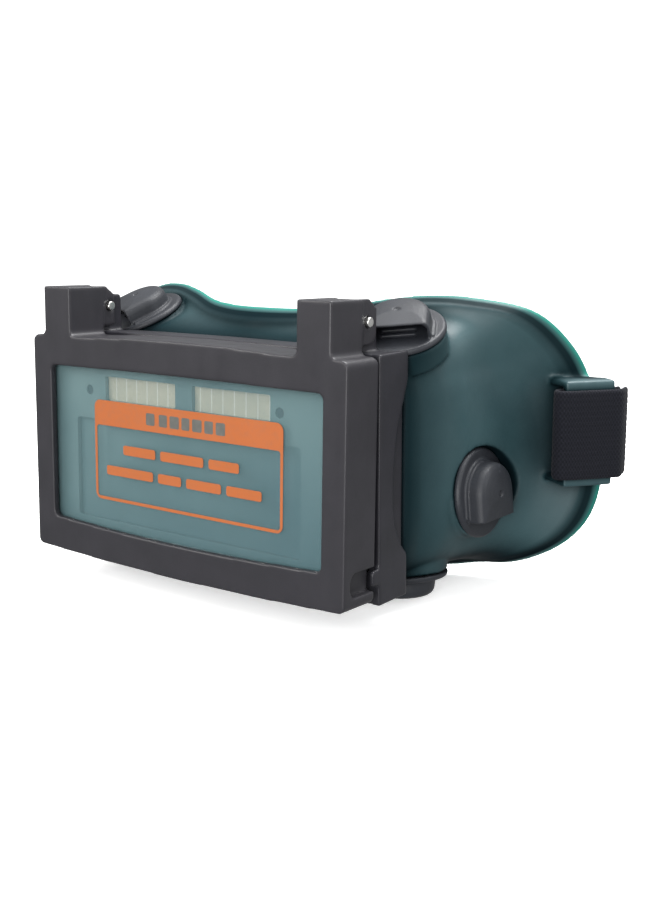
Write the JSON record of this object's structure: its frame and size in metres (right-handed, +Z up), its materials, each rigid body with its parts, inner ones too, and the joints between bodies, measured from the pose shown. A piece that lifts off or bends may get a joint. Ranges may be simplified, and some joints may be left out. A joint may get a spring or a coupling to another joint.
{
  "type": "welding goggles",
  "caption": "Lift-front welding goggles: soft vented mask, lens holder, hinged filter frame with a shade cartridge, and a head band with a slider.",
  "frame": {"origin": "middle of the bottom of the bounding box, head band included", "axes": "+X to the wearer's left, along the hinge pins; +Y towards the wearer's face; +Z up"},
  "size_m": [0.1924, 0.181, 0.0897],
  "materials": {
    "frame_black": "satin, lightly worn",
    "holder_black": "satin",
    "mask_green": "soft, slightly translucent dark green, glossy",
    "vent_black": "satin",
    "clip_black": "satin",
    "pin_steel": "turned",
    "clear_pane": "polished",
    "film": "hazy film",
    "filter_glass": "dark green-blue, mirror coated",
    "cell": "solar cell",
    "sensor": "domed",
    "board": "circuit board",
    "gasket": "matt",
    "band": "woven elastic"
  },
  "bodies": {
    "mask": {"lens_holder": "holder_black", "lens_retainer": "holder_black", "clear_lens": "clear_pane", "lens_gasket": "gasket", "hinge_pin_left": "pin_steel", "hinge_pin_right": "pin_steel", "mask_body": "mask_green", "strap": "band", "vent_cap_top_left": "vent_black", "vent_ring_top_left": "clip_black", "vent_cap_top_right": "vent_black", "vent_ring_top_right": "clip_black", "vent_cap_side_left": "vent_black", "vent_ring_side_left": "clip_black", "vent_cap_side_right": "vent_black", "vent_ring_side_right": "clip_black", "vent_cap_bottom_left": "vent_black", "vent_ring_bottom_left": "clip_black", "vent_cap_bottom_right": "vent_black", "vent_ring_bottom_right": "clip_black"},
    "front": {"flip_frame": "frame_black", "protective_film": "film", "cover_lens": "clear_pane", "filter_case": "frame_black", "shutter_glass": "filter_glass", "solar_cell_left": "cell", "solar_cell_right": "cell", "light_sensor_left": "sensor", "light_sensor_right": "sensor", "filter_board": "board", "filter_back": "frame_black", "filter_retainer": "frame_black"},
    "slider": {"strap_slider": "clip_black"}
  },
  "joints": [
    {"name": "lift", "type": "hinge", "parent": "mask", "child": "front", "pos_m": [0, -0.07159, 0.08324], "axis": [-1, 0, 0], "range_deg": [-1.7, 95]},
    {"name": "slider_travel", "type": "slide", "parent": "mask", "child": "slider", "axis": [0.6308, 0.776, 0], "range_m": [-0.005, 0.008]}
  ]
}
